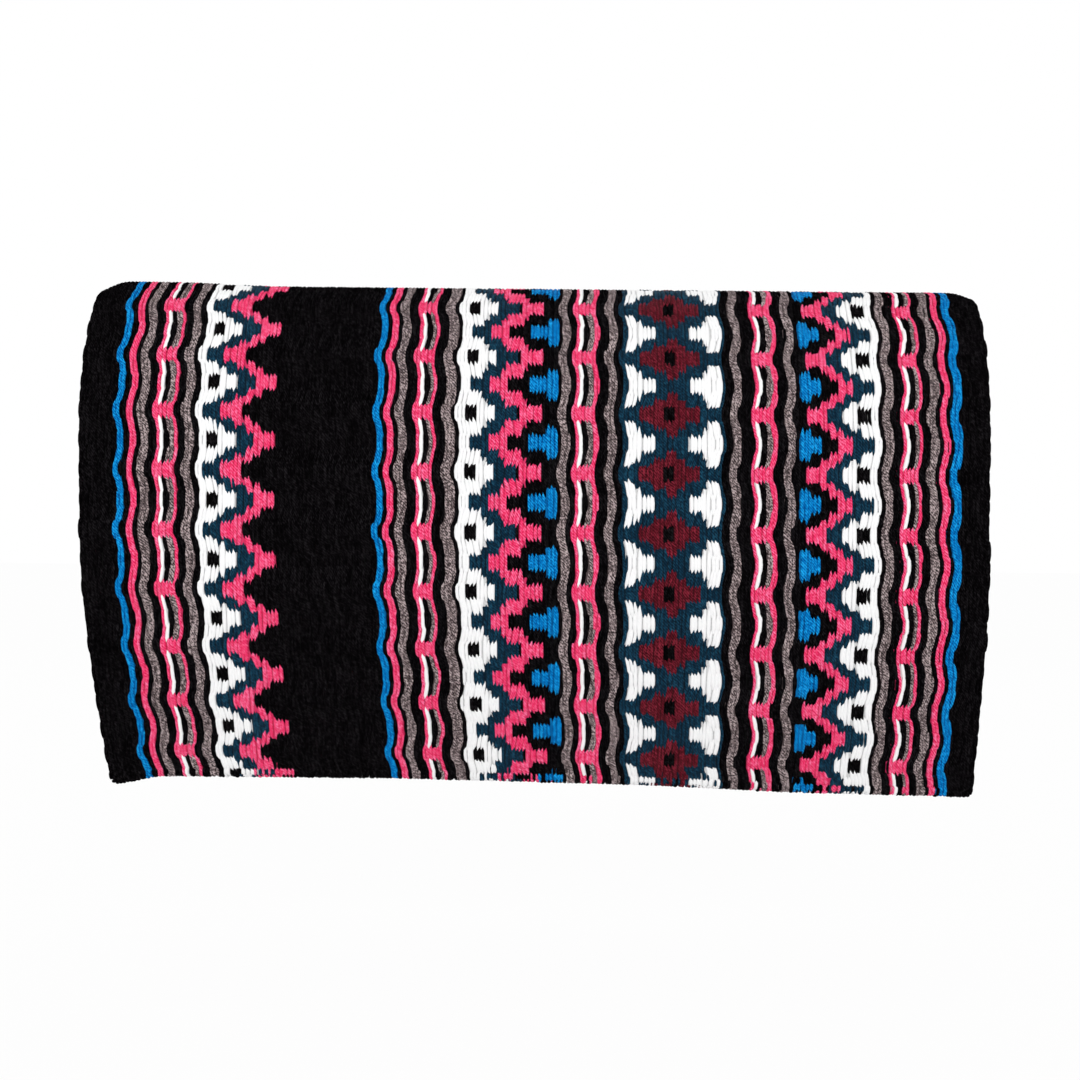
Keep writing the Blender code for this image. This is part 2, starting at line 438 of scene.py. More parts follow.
def chain(grey_wefts: int, bar_wefts: int) -> tuple[Strip, ...]:
    """A chain stripe's middle: a solid bar, with thin lines of four yarns between the bars.

    Args:
        grey_wefts: How many wefts its taupe line has.
        bar_wefts: How wide the bar is, which the lines fill too.

    Returns:
        Its strips, front to rear.
    """
    lines = ((CORAL, 2), (WHITE, 2), (BLACK, 3), (TAUPE, grey_wefts), (CORAL, bar_wefts - grey_wefts - 7))
    return tuple(short(wefts, CORAL, yarn, yarn) for yarn, wefts in lines)


BANDS = {
    "front_border": (plain(BLACK, 20),),
    "front_pinstripes": (plain(BLUE, 4), plain(BLACK, 3), plain(CORAL, 4)),
    "front_chain_stripe": (
        plain(BLACK, 2), plain(TAUPE, 5), plain(BLACK, 4), *chain(3, 12),
        plain(BLACK, 4), plain(TAUPE, 5), plain(BLACK, 3),
    ),
    "front_zigzag": (
        plain(WHITE, 4), short(6, PETROL, WHITE, BLACK), long(4, PETROL, WHITE),
        short(6, CORAL, PETROL, WHITE), long(6, CORAL, PETROL), short(4, BLACK, CORAL, PETROL),
        long(4, BLACK, CORAL), short(8, BLACK, BLACK, CORAL),
    ),
    "seat_field": (plain(BLACK, 56),),
    "centre_pinstripes": (plain(BLUE, 4), plain(BLACK, 2), plain(CORAL, 4)),
    "centre_chain_stripe": (
        plain(BLACK, 2), plain(TAUPE, 5), plain(BLACK, 5), *chain(2, 11),
        plain(BLACK, 5), plain(TAUPE, 6), plain(BLACK, 2),
    ),
    "centre_zigzag": (
        plain(WHITE, 5), short(7, BLACK, WHITE, PETROL), long(4, WHITE, PETROL),
        short(6, WHITE, PETROL, CORAL), long(4, PETROL, CORAL), short(8, PETROL, CORAL, BLACK),
        short(1, BLACK, CORAL, BLACK), long(3, CORAL, BLACK), short(10, CORAL, BLACK, BLUE),
        long(6, BLACK, BLUE),
    ),
    "medallion_front_chain_stripe": (
        plain(BLACK, 2), plain(TAUPE, 5), plain(BLACK, 3), *chain(3, 13),
        plain(BLACK, 5), plain(TAUPE, 5), plain(BLACK, 3),
    ),
    "medallion_band": (
        plain(PETROL, 3), short(5, PETROL, WHITE, WHITE), long(3, PETROL, WHITE),
        short(1, PETROL, PETROL, WHITE), short(6, MAROON, PETROL, WHITE), long(7, MAROON, PETROL),
        short(6, BLACK, MAROON, PETROL), long(6, MAROON, PETROL), short(8, MAROON, PETROL, WHITE),
        long(4, PETROL, WHITE), short(6, PETROL, WHITE, WHITE), plain(PETROL, 2),
    ),
    "medallion_rear_chain_stripe": (
        plain(BLACK, 4), plain(TAUPE, 5), plain(BLACK, 7), *chain(3, 13),
        plain(BLACK, 5), plain(TAUPE, 5), plain(BLACK, 2),
    ),
    "rear_zigzag": (
        long(6, BLACK, BLUE), short(6, CORAL, BLACK, BLUE), short(1, CORAL, BLACK, BLACK),
        long(4, CORAL, BLACK), short(4, PETROL, CORAL, BLACK), long(3, PETROL, CORAL),
        short(2, PETROL, PETROL, CORAL), short(3, WHITE, PETROL, CORAL), long(5, WHITE, PETROL),
        short(7, BLACK, WHITE, PETROL), plain(WHITE, 4),
    ),
    "rear_chain_stripe": (
        plain(BLACK, 2), plain(TAUPE, 5), plain(BLACK, 5), *chain(2, 11),
        plain(BLACK, 4), plain(TAUPE, 5), plain(BLACK, 2),
    ),
    "rear_pinstripes": (plain(CORAL, 4), plain(BLACK, 2), plain(BLUE, 5)),
    "rear_border": (plain(BLACK, 16),),
}


@dataclass(frozen=True)
class Draft:
    """The weaver's draft: which yarn each weft shows in each line of floats.

    A float's edge beside a change of yarn keeps the share ease of its distance from the change. The
    swelling yarns push their border out by swell wefts, where the strip on either side is plain. Near
    the hem, the share hem_strays of the wefts is out of turn.
    """

    bands: dict[str, tuple[Strip, ...]]
    rows_per_repeat: int = 8
    ease: float = 0.45
    swell: float = 0.3
    hem_strays: float = 0.4
    swelling: tuple[Yarn, ...] = (BLACK, WHITE)

    @property
    def strips(self) -> tuple[Strip, ...]:
        """All the strips, front to rear."""
        return tuple(strip for band in self.bands.values() for strip in band)

    @property
    def wefts(self) -> int:
        """How many wefts the cloth has."""
        return sum(strip.wefts for strip in self.strips)

    def yarn_of(self, strip: Strip, row: float) -> int:
        """Returns the place in YARNS of the yarn that a strip shows at a row."""
        lines = self.rows_per_repeat // strip.shed.value
        line = math.floor(row / strip.shed.value + 0.5) % lines
        return YARNS.index(strip.yarns[min(line, lines - line)])

    def cells(self, rows: range, step: int) -> np.ndarray:
        """Returns the yarns' places in YARNS at each row's middle, for every step-th weft."""
        return np.array([self.shown(self.strips, row + 0.5) for row in rows])[:, step // 2::step]

    def runs(self, shed: Shed) -> list[tuple[int, list[Strip]]]:
        """Returns the neighbouring strips thrown in one shed, with the weft that each run starts at."""
        found = []
        start = 0
        last = None
        for strip in self.strips:
            if strip.shed is shed:
                if last is not shed:
                    found.append((start, []))
                found[-1][1].append(strip)
            last = strip.shed
            start += strip.wefts
        return found

    def shown(self, strips: Sequence[Strip], row: float,
              chance: np.random.Generator | None = None) -> np.ndarray:
        """Returns the yarns that some strips show at a row, where chance may put some wefts out of turn."""
        due = np.concatenate([np.full(strip.wefts, self.yarn_of(strip, row)) for strip in strips])
        if chance is None:
            return due
        picks = [[YARNS.index(yarn) for yarn in strip.yarns] for strip in strips]
        strays = np.concatenate([chance.choice(pick, strip.wefts) for pick, strip in zip(picks, strips)])
        return np.where(chance.random(len(due)) < self.hem_strays, strays, due)

    def line(self, shed: Shed, turn: int, inner: bool,
             chance: np.random.Generator | None = None) -> tuple[np.ndarray, np.ndarray, np.ndarray]:
        """Lays out one line of floats, which take up the whole width between two changes of yarn.

        Args:
            shed: The shed of the floats.
            turn: The line's number, counted from the spine.
            inner: Whether the line is on the face against the horse.
            chance: What puts some wefts out of turn, where the pattern breaks up.

        Returns:
            The floats' front and rear edges in wefts from the front of the cloth, and their yarns.
        """
        fronts, rears, yarns = [], [], []
        for start, strips in self.runs(shed):
            shown = self.shown(strips, turn * shed.value, chance)
            weft = np.arange(len(shown))
            seen = weft[(weft + start + turn + int(inner)) % 2 == 0]
            if not len(seen):
                continue
            steady = np.concatenate([np.full(strip.wefts, len(set(strip.yarns)) == 1) for strip in strips])
            swollen = np.isin(shown, [YARNS.index(yarn) for yarn in self.swelling]) * self.swell
            changes = np.flatnonzero(np.diff(shown)) + 1
            pushed = (swollen[changes - 1] - swollen[changes]) * (steady[changes - 1] | steady[changes])
            bounds = np.concatenate([[0], changes + pushed, [len(shown)]])
            at = np.searchsorted(seen, np.concatenate([[0], changes, [len(shown)]]))
            edges = np.concatenate([seen - 0.5, [seen[-1] + 1.5]])
            near = np.bincount(at, weights=bounds) / np.maximum(np.bincount(at), 1)
            near = np.pad(near, (0, len(edges) - len(near)))
            turned = np.isin(np.arange(len(edges)), at)
            edges = np.where(turned, near + self.ease * (edges - near), edges)
            fronts.append(start + edges[:-1])
            rears.append(start + edges[1:])
            yarns.append(shown[seen])
        return np.concatenate(fronts), np.concatenate(rears), np.concatenate(yarns)


def eased(share: np.ndarray) -> np.ndarray:
    """Returns a share held from 0 to 1, with a slow start and a slow end."""
    held = np.clip(share, 0, 1)
    return held * held * (3 - 2 * held)


def unit(vectors: np.ndarray) -> np.ndarray:
    """Returns the vectors, one a line, each 1 long."""
    return vectors / np.linalg.norm(vectors, axis=-1, keepdims=True)


@dataclass(frozen=True)
class Drape:
    """How the cloth hangs over its spine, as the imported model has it.

    The bends are stretches from the spine down, each by its rows and the degrees that it turns.
    """

    thickness: float = 0.008
    length: float = 0.8638
    row_pitch: float = 0.0071
    hem_row: int = 76
    bend_row: int = 16
    wave_rows: int = 8
    wave_reach: float = 0.0022
    wave_sharpness: float = 0.18
    still_edge: float = 0.030
    sweep_back: float = 0.013
    hem_draw_in: float = 0.001
    rear_hem_drop: float = 0.0115
    drop_from_row: int = 44
    drop_start_x: float = -0.1519
    front_corner_drop: float = 0.0093
    front_corner_width: float = 0.055
    front_drop_from_row: int = 56
    hem_rise: float = 0.0038
    rise_from_row: int = 56
    rise_gone_shares: tuple[float, float] = (0.58, 0.82)
    front_shift: float = -0.0004
    crest_skew: float = 0.0055
    flank_shift: float = -0.0020
    flank_full_share: float = 0.4
    flank_row: int = 44
    crest_lift: float = 0.0075
    front_lift: float = 0.0035
    front_lift_from_x: float = -0.250
    front_lift_to_x: float = -0.368
    lift_rows: tuple[int, int] = (2, 9)
    lift_end_width: float = 0.024
    corner_radius: float = 0.007
    corner_from_row: int = 68
    bends: tuple = ((2, 0), (6, 57), (8, 14), (12, 18), (12, 0), (12, 14), (12, 5), (12, 2))

    def fold(self, arc: np.ndarray) -> tuple[np.ndarray, np.ndarray, np.ndarray]:
        """Walks the outer surface from the spine.

        Args:
            arc: Lengths along the surface, from the spine down.

        Returns:
            The reach out from the spine, the height, and the slope's angle below level.
        """
        left = np.array(arc, float)
        reach = np.zeros_like(left)
        height = np.full_like(left, self.thickness)
        angle = np.zeros_like(left)
        for rows, degrees in self.bends:
            span = rows * self.row_pitch
            length = np.minimum(left, span)
            turn = math.radians(degrees) * length / span
            if degrees:
                radius = span / math.radians(degrees)
                reach += radius * (np.sin(angle + turn) - np.sin(angle))
                height -= radius * (np.cos(angle) - np.cos(angle + turn))
            else:
                reach += length * np.cos(angle)
                height -= length * np.sin(angle)
            angle += turn
            left -= length
        return reach + left * np.cos(angle), height - left * np.sin(angle), angle

    def towards_hem(self, row: np.ndarray, from_row: int) -> np.ndarray:
        """Returns rows as shares of the way from one row, 0, to the hem, 1."""
        return (row - from_row) / (self.hem_row - from_row)

    def run(self, x: np.ndarray, row: np.ndarray) -> np.ndarray:
        """Returns where a weft runs along the spine's line at a row: waved, drawn in and swept back."""
        hem_share = (row / self.hem_row) ** 2
        drawn = x * (1 - hem_share * 2 * self.hem_draw_in / self.length)
        freedom = np.clip((self.length / 2 - np.abs(x)) / self.still_edge, 0, 1)
        turn = math.tau * row / self.wave_rows
        wave = self.wave_reach * freedom * (np.cos(turn) + self.wave_sharpness * np.cos(2 * turn))
        share = x / self.length + 0.5
        flank = eased(row / self.flank_row)
        full = eased(share / self.flank_full_share)
        skew = self.crest_skew * share * (1 - flank) + self.flank_shift * full * flank
        return drawn - wave + self.sweep_back * hem_share + self.front_shift + skew

    def arc(self, x: np.ndarray, row: np.ndarray) -> np.ndarray:
        """Returns a row's length from the spine, which grows where the hem hangs lower."""
        rear = np.clip((x - self.drop_start_x) / (self.length / 2 - self.drop_start_x), 0, 1)
        rear_fall = np.clip(self.towards_hem(row, self.drop_from_row), 0, 1)
        corner = eased(1 - (x + self.length / 2) / self.front_corner_width)
        corner_fall = eased(self.towards_hem(row, self.front_drop_from_row))
        start, end = self.rise_gone_shares
        middle = 1 - eased((x / self.length + 0.5 - start) / (end - start))
        rise = self.hem_rise * middle * np.clip(self.towards_hem(row, self.rise_from_row), 0, 1) ** 2
        lower = self.rear_hem_drop * rear * rear_fall + self.front_corner_drop * corner * corner_fall - rise
        inset = np.clip(self.corner_radius - (self.length / 2 - np.abs(x)), 0, self.corner_radius)
        rounded = self.corner_radius - np.sqrt(self.corner_radius ** 2 - inset ** 2)
        round_share = eased(self.towards_hem(row, self.corner_from_row))
        return row * self.row_pitch + lower - rounded * round_share

    def lift(self, x: np.ndarray, row: np.ndarray) -> np.ndarray:
        """Returns how far the cloth stands off the spine: most near the front, not at all down the flaps."""
        span = self.front_lift_to_x - self.front_lift_from_x
        height = self.crest_lift + self.front_lift * eased((x - self.front_lift_from_x) / span)
        end_share = np.sqrt(eased((self.length / 2 - np.abs(x)) / self.lift_end_width))
        held, gone = self.lift_rows
        return height * end_share * eased((gone - row) / (gone - held))

    def place(self, x: np.ndarray, row: np.ndarray, depth: np.ndarray | float, side: Side,
              beyond: np.ndarray | float = 0.0) -> np.ndarray:
        """Places points of the cloth.

        Args:
            x: The wefts' places along the spine, before the cloth waves or sweeps.
            row: Rows from the spine, less than 0 past it on the other side.
            depth: How far in from the outer surface.
            side: The side of the spine.
            beyond: A length past the row, down the drape.

        Returns:
            The points, one a line.
        """
        away = np.abs(row)
        reach, height, angle = self.fold(self.arc(x, away) + beyond)
        reach = (reach - depth * np.sin(angle)) * np.where(row < 0, -1, 1)
        height = height - depth * np.cos(angle) + self.lift(x, away)
        return np.stack([self.run(x, away), side.value * reach, height], axis=-1)

    def outward(self, x: np.ndarray, row: np.ndarray, side: Side) -> np.ndarray:
        """Returns the directions out of the cloth at each point, one a line."""
        angle = self.fold(self.arc(x, row))[2]
        return np.stack([np.zeros_like(angle), side.value * np.sin(angle), np.cos(angle)], axis=-1)

    def round_hem(self, x: np.ndarray, along: np.ndarray, depth: float, reach: float,
                  side: Side) -> np.ndarray:
        """Places points on the way round the hem: down the outer face, round it and up the inner face.

        Args:
            x: The wefts' places along the spine.
            along: Lengths past the hem row on the outer face.
            depth: How far in from either surface the way lies.
            reach: How far past the hem row the way stays straight.
            side: The side of the spine.

        Returns:
            The points, one a line.
        """
        radius = self.thickness / 2 - depth
        turned = np.clip((along - reach) / radius, 0, math.pi)
        past = np.maximum(along - reach - math.pi * radius, 0)
        beyond = np.minimum(along, reach) + radius * np.sin(turned) - past
        hem = np.full(np.shape(along), float(self.hem_row))
        return self.place(x, hem, self.thickness / 2 - radius * np.cos(turned), side, beyond)


@dataclass
class Floats:
    """Weft floats: where each lies, runs, faces and bends, its size, its spot in the cloth, its yarn."""

    centre: np.ndarray
    down: np.ndarray
    out: np.ndarray
    bend: np.ndarray
    size: np.ndarray
    spot: np.ndarray
    yarn: np.ndarray

    def only(self, chosen: np.ndarray) -> "Floats":
        """Returns the floats that the mask chooses."""
        return Floats(*(getattr(self, name)[chosen] for name in self.__dataclass_fields__))

    @staticmethod
    def joined(several: "list[Floats]") -> "Floats":
        """Returns all the floats of several batches as one."""
        names = Floats.__dataclass_fields__
        return Floats(*(np.concatenate([getattr(one, name) for one in several]) for name in names))


@dataclass
class Loom:
    """Lays out the floats of the cloth from its draft and its drape.

    By chance, floats stray along the spine, slip down the cloth and sway off their line. Those shorter
    than waved_share short floats tilt and curve with the stripes' waves, by the given shares, and longer
    ones are pulled straight. A float's bend is measured at bend_share of its half length.
    """

    draft: Draft
    drape: Drape
    float_depth: float = 0.00135
    float_overlap: float = 0.0028
    stray: float = 0.00036
    sway: float = 0.012
    slip: float = 0.00045
    tilt: float = 0.85
    curve: float = 0.6
    waved_share: float = 1.2
    bend_share: float = 0.6
    hem_lines: int = 3
    hem_shrink: float = 0.78
    hem_reach: float = 0.0004
    edge_columns: tuple = ((0.22, 0.0016), (0.5, 0.0006), (0.78, 0.0016))
    seed: int = 20

    def __post_init__(self) -> None:
        """Starts the chance that varies the floats."""
        self.chance = np.random.default_rng(self.seed)

    @property
    def weft_width(self) -> float:
        """How much of the cloth's length one weft takes."""
        return self.drape.length / self.draft.wefts

    def half_float(self, shed: Shed) -> float:
        """Returns half the length of a shed's floats, from the middle to the tip."""
        return shed.value * self.drape.row_pitch / 2 + self.float_overlap

    def batch(self, at: Callable[[float], np.ndarray], out: np.ndarray, half_length: float,
              width: np.ndarray, spot: tuple, yarn: np.ndarray, shrink: float = 1.0) -> Floats:
        """Makes a batch of floats, each bent as the way that it lies along.

        Args:
            at: Gives the floats' ways: the points that lie a length down them from their middles.
            out: The directions out of the cloth.
            half_length: Half the floats' length.
            width: The floats' widths, as shares of a plain float's.
            spot: The floats' places along the spine and down the cloth.
            yarn: The floats' yarns.
            shrink: How much shorter the floats lie than their ways, where those turn sharply.

        Returns:
            The floats, each with a chance shade.
        """
        step = half_length * self.bend_share
        before, centre, after = at(-step), at(0.0), at(step)
        short_half = self.half_float(Shed.SHORT)
        waved = half_length < short_half * self.waved_share
        bend = (before + after - 2 * centre) / (2 * (step * shrink) ** 2)
        bend = bend * np.array([self.curve * waved, 1.0, 1.0])
        down = unit((after - before) * np.array([self.tilt * waved, 1.0, 1.0]))
        down[:, 0] += self.chance.normal(0, self.sway, len(down))
        down = unit(down)
        centre = centre + down * self.chance.normal(0, self.slip, (len(centre), 1))
        count = len(centre)
        length_share = half_length * shrink / short_half
        size = np.stack([width, np.full(count, length_share), np.ones(count)], axis=-1)
        x, arc = spot
        shade = self.chance.random(count)
        return Floats(centre, down, out, bend, size, np.stack([x, arc, shade], axis=-1), yarn)

    def line(self, shed: Shed, turn: int, inner: bool,
             chance: np.random.Generator | None = None) -> tuple[np.ndarray, np.ndarray, np.ndarray]:
        """Returns a line's floats: their places along the spine, their shares of width and their yarns."""
        front, rear, yarn = self.draft.line(shed, turn, inner, chance)
        x = (front + rear) / 2 * self.weft_width - self.drape.length / 2
        return x + self.chance.normal(0, self.stray, len(x)), (rear - front) / 2, yarn

    def face(self, side: Side, rows: range, inner: bool) -> Floats:
        """Lays out the floats of one face of a flap, over the given rows."""
        drape = self.drape
        depth = drape.thickness - self.float_depth if inner else self.float_depth
        found = []
        for shed in Shed:
            last = drape.hem_row - 1 - shed.value / 2
            for middle in range(0, drape.hem_row, shed.value):
                if middle not in rows or middle > last or (middle == 0 and side is Side.NEAR):
                    continue
                x, width, yarn = self.line(shed, middle // shed.value, inner)
                row = np.full(len(x), float(middle))
                out = drape.outward(x, row, side) * (-1 if inner else 1)
                found.append(self.batch(
                    lambda down: drape.place(x, row + down / drape.row_pitch, depth, side),
                    out, self.half_float(shed), width, (x, row * drape.row_pitch), yarn,
                ))
        return Floats.joined(found)

    def hem(self, side: Side) -> Floats:
        """Lays out the floats that wrap the hem, where chance puts some wefts out of turn."""
        drape = self.drape
        radius = drape.thickness / 2 - self.float_depth
        path = 2 * (drape.row_pitch + self.hem_reach) + math.pi * radius
        pitch = path / self.hem_lines
        found = []
        for shed, first in ((Shed.SHORT, 0), (Shed.LONG, -1)):
            for number in range(first, self.hem_lines - first):
                turn = drape.hem_row // shed.value + number
                x, width, yarn = self.line(shed, turn, False, self.chance)
                along = np.full(len(x), (number + 0.5) * pitch - drape.row_pitch)
                turned = np.clip((along - self.hem_reach) / radius, 0, math.pi)[:, None]
                row = np.full(len(x), float(drape.hem_row))
                down = unit(drape.place(x, row, 0.0, side, MILLIMETRE) - drape.place(x, row, 0.0, side))
                out = np.cos(turned) * drape.outward(x, row, side) + np.sin(turned) * down
                shrink = self.hem_shrink if 0 < number < self.hem_lines - 1 else 1.0
                found.append(self.batch(
                    lambda length: drape.round_hem(x, along + length, self.float_depth, self.hem_reach, side),
                    out, pitch / 2 + self.float_overlap / 2, width, (x, row * drape.row_pitch + along), yarn,
                    shrink,
                ))
        return Floats.joined(found)

    def edge(self, side: Side, rows: range) -> Floats:
        """Lays out the floats that close the front and rear edges, one to a row in each column."""
        drape = self.drape
        row = np.array([middle for middle in rows if middle < drape.hem_row - 1], float)
        found = []
        for end in (-1, 1):
            for depth_share, inset in self.edge_columns:
                x = np.full(len(row), end * (drape.length / 2 - inset))
                depth = depth_share * drape.thickness
                out = np.tile([float(end), 0.0, 0.0], (len(row), 1))
                yarn = np.full(len(row), YARNS.index(BLACK))
                found.append(self.batch(
                    lambda down: drape.place(x, row + down / drape.row_pitch, depth, side),
                    out, self.half_float(Shed.SHORT), np.ones(len(row)), (x, row * drape.row_pitch), yarn,
                ))
        return Floats.joined(found)


class FloatTree:
    """The Geometry Nodes that set a lens-shaped float on every point of a mesh."""

    INPUTS = {
        "Half Width": 0.00212,
        "Half Length": 0.0099,
        "Half Height": 0.00125,
        "Ridge": 0.6,
        "End Dive": 0.0002,
        "Size Spread": 0.08,
        "Map Front": -0.44,
        "Map Top": -0.02,
        "Map Width": 0.90,
        "Map Height": 0.62,
    }
    COUNTS = {"Sides": 6, "Rings": 6, "Seed": 3}

    def __init__(self, name: str) -> None:
        """Builds the tree.

        Args:
            name: The node group's name.
        """
        self.group = bpy.data.node_groups.new(name, "GeometryNodeTree")
        face = self.group.interface
        face.new_socket("Geometry", in_out="INPUT", socket_type="NodeSocketGeometry")
        face.new_socket("Geometry", in_out="OUTPUT", socket_type="NodeSocketGeometry")
        for label, size in self.INPUTS.items():
            face.new_socket(label, in_out="INPUT", socket_type="NodeSocketFloat").default_value = size
        for label, count in self.COUNTS.items():
            face.new_socket(label, in_out="INPUT", socket_type="NodeSocketInt").default_value = count
        face.new_socket("Material", in_out="INPUT", socket_type="NodeSocketMaterial")
        self.tree = Tree(self.group)
        self.entry = self.tree.node("NodeGroupInput")
        self.link(self.shaped_float())

    def value(self, label: str) -> Value:
        """Returns one of the tree's named inputs."""
        return Value(self.tree, self.entry.outputs[label])

    def named(self, name: str, kind: str = "FLOAT_VECTOR") -> bpy.types.NodeSocket:
        """Returns an attribute of the geometry by its name."""
        return self.tree.output("GeometryNodeInputNamedAttribute", {"data_type": kind}, {"Name": name})

    def stored(self, geometry: bpy.types.NodeSocket, name: str, value: bpy.types.NodeSocket,
               kind: str = "FLOAT_VECTOR", domain: str = "POINT") -> bpy.types.NodeSocket:
        """Returns the geometry with a value stored on it under a name."""
        settings = {"data_type": kind, "domain": domain}
        inputs = {"Geometry": geometry, "Name": name, "Value": value}
        return self.tree.output("GeometryNodeStoreNamedAttribute", settings, inputs)

    def shaped_float(self) -> bpy.types.NodeSocket:
        """Shapes one float: X across it, Y down the weft and Z out of the cloth.

        Returns:
            The float's mesh, which carries each point's own spot in metres.
        """
        tree = self.tree
        inputs = {"Segments": self.value("Sides"), "Rings": self.value("Rings"), "Radius": 1.0}
        ball = tree.output("GeometryNodeMeshUVSphere", inputs=inputs)
        quarter = (0.0, 0.0, -math.pi / 2)
        turned = tree.output("GeometryNodeTransform", inputs={"Geometry": ball, "Rotation": quarter})
        x, y, z = tree.split(tree.output("GeometryNodeInputPosition"))
        width = x * self.value("Half Width")
        length = z * self.value("Half Length")
        ridge = -y * (abs(y) ** self.value("Ridge"))
        height = ridge * self.value("Half Height") - self.value("End Dive") * z * z
        kept = self.stored(turned, "float_spot", tree.joined(width, length, height))
        inputs = {"Geometry": kept, "Position": self.named("float_spot")}
        return tree.output("GeometryNodeSetPosition", inputs=inputs)

    def link(self, lens: bpy.types.NodeSocket) -> None:
        """Sets the float on every point and dresses the result.

        Args:
            lens: The mesh of one float.
        """
        tree = self.tree
        placed = tree.output("GeometryNodeInstanceOnPoints", inputs={
            "Points": self.entry.outputs["Geometry"], "Instance": lens,
            "Rotation": self.turned(), "Scale": self.scaled("size", self.chance()),
        })
        real = tree.output("GeometryNodeRealizeInstances", inputs={"Geometry": placed})
        inputs = {0: self.named("float_spot"), 1: self.named("size")}
        grown = tree.output("ShaderNodeVectorMath", {"operation": "MULTIPLY"}, inputs)
        sized = self.stored(real, "float_spot", grown)
        across, down, _ = tree.split(self.named("float_spot"))
        sag = self.scaled("bend", down * down)
        bent = tree.output("GeometryNodeSetPosition", inputs={"Geometry": sized, "Offset": sag})
        x, arc, shade = tree.split(self.named("centre_spot"))
        dressed = self.mapped(self.stored(bent, "cloth_spot", tree.joined(x + across, arc + down, shade)))
        for name in ("down", "out", "bend", "size", "centre_spot"):
            dressed = tree.output("GeometryNodeRemoveAttribute", inputs={"Geometry": dressed, "Name": name})
        dressed = tree.output("GeometryNodeSetShadeSmooth", inputs={"Geometry": dressed})
        inputs = {"Geometry": dressed, "Material": self.entry.outputs["Material"]}
        dressed = tree.output("GeometryNodeSetMaterial", inputs=inputs)
        tree.feed(tree.node("NodeGroupOutput").inputs["Geometry"], dressed)

    def turned(self) -> bpy.types.NodeSocket:
        """Returns the turn that lays a float down its way, with its top out of the cloth."""
        axes = {"primary_axis": "Y", "secondary_axis": "Z"}
        inputs = {"Primary Axis": self.named("down"), "Secondary Axis": self.named("out")}
        return self.tree.output("FunctionNodeAxesToRotation", axes, inputs)

    def chance(self) -> bpy.types.NodeSocket:
        """Returns each float's chance size, as a share of its own."""
        spread = self.value("Size Spread")
        inputs = {"Min_001": 1 - spread, "Max_001": 1 + spread, "Seed": self.value("Seed")}
        return self.tree.output("FunctionNodeRandomValue", {"data_type": "FLOAT"}, inputs)

    def scaled(self, name: str, scale: bpy.types.NodeSocket | Value) -> bpy.types.NodeSocket:
        """Returns a vector attribute times a number."""
        inputs = {"Vector": self.named(name), "Scale": scale}
        return self.tree.output("ShaderNodeVectorMath", {"operation": "SCALE"}, inputs)

    def mapped(self, cloth: bpy.types.NodeSocket) -> bpy.types.NodeSocket:
        """Returns the floats with a map of the whole cloth laid flat, for the baked finish."""
        x, arc, _ = self.tree.split(self.named("cloth_spot"))
        across = (x - self.value("Map Front")) / self.value("Map Width")
        down = (arc - self.value("Map Top")) / self.value("Map Height")
        return self.stored(cloth, "OFBake", self.tree.joined(across, down, 0.0), "FLOAT2", "CORNER")

    def identifier(self, label: str) -> str:
        """Returns the identifier by which a modifier knows a named input."""
        sockets = self.group.interface.items_tree
        return next(s.identifier for s in sockets if s.name == label and s.in_out == "INPUT")

    def weave(self, name: str, floats: Floats, material: bpy.types.Material,
              values: dict) -> bpy.types.Object:
        """Makes one piece of floats.

        Args:
            name: The piece's name.
            floats: Where its floats go.
            material: Its finish.
            values: The inputs that differ from the tree's own.

        Returns:
            A plain mesh object in the scene.
        """
        points = new_mesh(name, floats.centre)
        stored = {
            "down": floats.down, "out": floats.out, "bend": floats.bend,
            "size": floats.size, "centre_spot": floats.spot,
        }
        for label, rows in stored.items():
            attribute = points.attributes.new(label, "FLOAT_VECTOR", "POINT")
            attribute.data.foreach_set("vector", rows.astype(np.float32).ravel())
        piece = new_object(name, points)
        modifier = piece.modifiers.new("floats", "NODES")
        modifier.node_group = self.group
        for label, value in {**values, "Material": material}.items():
            modifier[self.identifier(label)] = value
        graph = bpy.context.evaluated_depsgraph_get()
        woven = bpy.data.meshes.new_from_object(piece.evaluated_get(graph), depsgraph=graph)
        piece.modifiers.clear()
        piece.data = woven
        bpy.data.meshes.remove(points)
        woven.name = name
        return piece


@dataclass(frozen=True)
class Zone:
    """A stretch of cloth that moves as one: its side, its rows and what it follows."""

    name: str
    side: Side
    rows: range
    body: str
    bends_from: str | None = None

    def follow(self, piece: bpy.types.Object, drape: Drape) -> None:
        """Makes a piece follow the flap, or, between the crest and the flap, bakes its place into its mesh.

        Args:
            piece: A finished piece of this zone.
            drape: The cloth's shape, from which the bend's start and end are found, though nothing uses them.
        """
        if self.bends_from is None:
            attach(piece, self.body)
            return
        ends = drape.place(np.zeros(2), np.array([0.0, drape.bend_row]), 0.0, self.side)
        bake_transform(piece)


